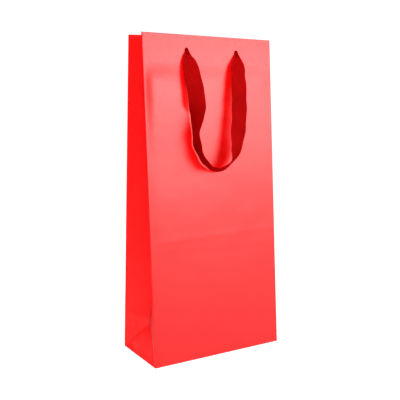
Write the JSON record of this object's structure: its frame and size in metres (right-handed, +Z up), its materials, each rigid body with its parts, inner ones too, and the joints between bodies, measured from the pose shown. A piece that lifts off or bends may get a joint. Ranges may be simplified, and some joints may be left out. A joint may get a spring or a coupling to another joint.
{
  "type": "gift bag",
  "caption": "Tall red paper gift bag with folded gussets, a turned-in rim, a bottom board and a ribbon handle on each wide face.",
  "frame": {"origin": "middle of the bottom, on the surface the bag stands on", "axes": "+X across the wide faces to the right, -Y out of the front face, +Z up to the rim"},
  "size_m": [0.18, 0.1058, 0.3891],
  "materials": {
    "paper": "matt dyed paper",
    "paper_inside": "matt dyed paper",
    "board": "plain grey board",
    "ribbon": "woven grosgrain ribbon"
  },
  "bodies": {
    "base": {"base_board": "board", "front_bottom_flap": "paper_inside", "back_bottom_flap": "paper_inside", "left_bottom_flap": "paper_inside", "right_bottom_flap": "paper_inside"},
    "left_foot": {"left_gusset_foot": "paper"},
    "right_foot": {"right_gusset_foot": "paper"},
    "front_wall": {"front_panel": "paper", "front_hem": "paper_inside", "front_hem_card": "board", "front_left_knot": "ribbon", "front_right_knot": "ribbon"},
    "back_wall": {"back_panel": "paper", "back_hem": "paper_inside", "back_hem_card": "board", "back_left_knot": "ribbon", "back_right_knot": "ribbon"},
    "left_front_half": {"left_gusset_front": "paper", "left_front_gusset_hem": "paper_inside", "side_seam_lap": "paper_inside"},
    "left_back_half": {"left_gusset_back": "paper", "left_back_gusset_hem": "paper_inside"},
    "right_front_half": {"right_gusset_front": "paper", "right_front_gusset_hem": "paper_inside"},
    "right_back_half": {"right_gusset_back": "paper", "right_back_gusset_hem": "paper_inside"},
    "front_ribbon": {"front_handle": "ribbon"},
    "back_ribbon": {"back_handle": "ribbon"}
  },
  "joints": [
    {"name": "mouth", "type": "hinge", "parent": "base", "child": "front_wall", "pos_m": [0, -0.044, 0], "axis": [-1, 0, 0], "range_deg": [-2.4, 1.4]},
    {"name": "back_wall_tilt", "type": "hinge", "parent": "base", "child": "back_wall", "pos_m": [0, 0.044, 0], "axis": [1, 0, 0], "range_deg": [-2.4, 1.4]},
    {"name": "left_foot_hinge", "type": "hinge", "parent": "base", "child": "left_foot", "pos_m": [-0.09, 0, 0.0005], "axis": [0, 1, 0], "range_deg": [-6.1, 3.6]},
    {"name": "right_foot_hinge", "type": "hinge", "parent": "base", "child": "right_foot", "pos_m": [0.09, 0, 0.0005], "axis": [0, -1, 0], "range_deg": [-6.1, 3.6]},
    {"name": "left_front_fold", "type": "hinge", "parent": "front_wall", "child": "left_front_half", "pos_m": [-0.09, -0.0429, 0], "axis": [0, -0.0667, -0.9978], "range_deg": [-24, 14]},
    {"name": "right_front_fold", "type": "hinge", "parent": "front_wall", "child": "right_front_half", "pos_m": [0.09, -0.0429, 0], "axis": [0, 0.0667, 0.9978], "range_deg": [-24, 14]},
    {"name": "left_back_fold", "type": "hinge", "parent": "back_wall", "child": "left_back_half", "pos_m": [-0.09, 0.0429, 0], "axis": [0, -0.0667, 0.9978], "range_deg": [-24, 14]},
    {"name": "right_back_fold", "type": "hinge", "parent": "back_wall", "child": "right_back_half", "pos_m": [0.09, 0.0429, 0], "axis": [0, 0.0667, -0.9978], "range_deg": [-24, 14]},
    {"name": "front_handle_swing", "type": "hinge", "parent": "front_wall", "child": "front_ribbon", "pos_m": [0, -0.02169, 0.37134], "axis": [-1, 0, 0], "range_deg": [0, 160]},
    {"name": "back_handle_swing", "type": "hinge", "parent": "back_wall", "child": "back_ribbon", "pos_m": [0, 0.02169, 0.37134], "axis": [1, 0, 0], "range_deg": [0, 160]}
  ],
  "couplings": [
    {"joint": "back_wall_tilt", "follows": "mouth", "ratio": 1},
    {"joint": "left_foot_hinge", "follows": "mouth", "ratio": 2.5},
    {"joint": "right_foot_hinge", "follows": "mouth", "ratio": 2.5},
    {"joint": "left_front_fold", "follows": "mouth", "ratio": 9.9},
    {"joint": "right_front_fold", "follows": "mouth", "ratio": 9.9},
    {"joint": "left_back_fold", "follows": "mouth", "ratio": 9.9},
    {"joint": "right_back_fold", "follows": "mouth", "ratio": 9.9}
  ]
}
